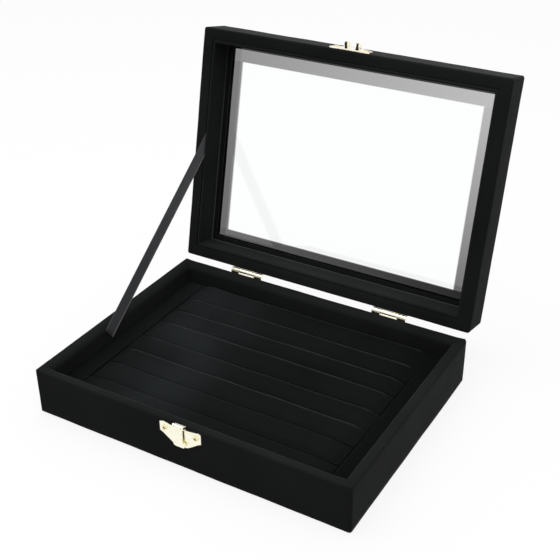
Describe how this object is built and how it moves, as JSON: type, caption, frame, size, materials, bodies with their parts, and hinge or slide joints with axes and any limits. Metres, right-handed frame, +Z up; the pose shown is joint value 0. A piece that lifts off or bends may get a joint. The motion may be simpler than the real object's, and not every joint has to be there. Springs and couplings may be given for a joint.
{
  "type": "ring display box",
  "caption": "Low velvet-covered box for rings: rows of padded rolls in the base, and a hinged glass-topped lid with a ribbon stay and a front latch.",
  "frame": {"origin": "centre of the base's underside, on the surface it stands on", "axes": "+X to the right along the front, +Y from the front to the hinges, +Z up; the lid stands open as pictured"},
  "size_m": [0.2, 0.2068, 0.1814],
  "materials": {
    "velvet_outer": "matte",
    "velvet_rolls": "matte",
    "velvet_insert": "matte",
    "underside_flock": "matte",
    "insert_card": "matte",
    "fibreboard": "matte",
    "clear_glass": "polished",
    "brass_fittings": "polished",
    "brass_pins": "polished",
    "brass_screws": "polished",
    "satin_ribbon": "satin"
  },
  "bodies": {
    "base": {"base_cover": "velvet_outer", "base_underside": "underside_flock", "base_floor": "fibreboard", "base_front_board": "fibreboard", "base_back_board": "fibreboard", "base_left_board": "fibreboard", "base_right_board": "fibreboard", "tray_board": "insert_card", "tray_cheek_left": "velvet_insert", "tray_cheek_right": "velvet_insert", "ring_roll_1": "velvet_rolls", "ring_roll_2": "velvet_rolls", "ring_roll_3": "velvet_rolls", "ring_roll_4": "velvet_rolls", "ring_roll_5": "velvet_rolls", "ring_roll_6": "velvet_rolls", "ring_roll_7": "velvet_rolls", "ring_roll_8": "velvet_rolls", "hinge_left_base_leaf": "brass_fittings", "hinge_left_pin": "brass_pins", "hinge_right_base_leaf": "brass_fittings", "hinge_right_pin": "brass_pins", "hinge_base_screws": "brass_screws", "latch_plate": "brass_fittings", "latch_pin": "brass_pins", "latch_screws": "brass_screws", "ribbon_stay": "satin_ribbon"},
    "lid": {"lid_cover": "velvet_outer", "lid_border": "fibreboard", "lid_front_board": "fibreboard", "lid_back_board": "fibreboard", "lid_left_board": "fibreboard", "lid_right_board": "fibreboard", "glass_pane": "clear_glass", "lid_liner_front": "velvet_insert", "lid_liner_back": "velvet_insert", "lid_liner_left": "velvet_insert", "lid_liner_right": "velvet_insert", "hinge_left_lid_leaf": "brass_fittings", "hinge_right_lid_leaf": "brass_fittings", "hinge_lid_screws": "brass_screws", "catch_plate": "brass_fittings", "catch_screws": "brass_screws"},
    "tongue": {"latch_tongue": "brass_fittings"}
  },
  "joints": [
    {"name": "lid_hinge", "type": "hinge", "parent": "base", "child": "lid", "pos_m": [0, 0.0763, 0.03035], "axis": [1, 0, 0], "range_deg": [0, 102.5], "deforming": ["ribbon_stay"]},
    {"name": "latch_swing", "type": "hinge", "parent": "base", "child": "tongue", "pos_m": [0, -0.0765, 0.0294], "axis": [1, 0, 0], "range_deg": [-180, 0]}
  ]
}
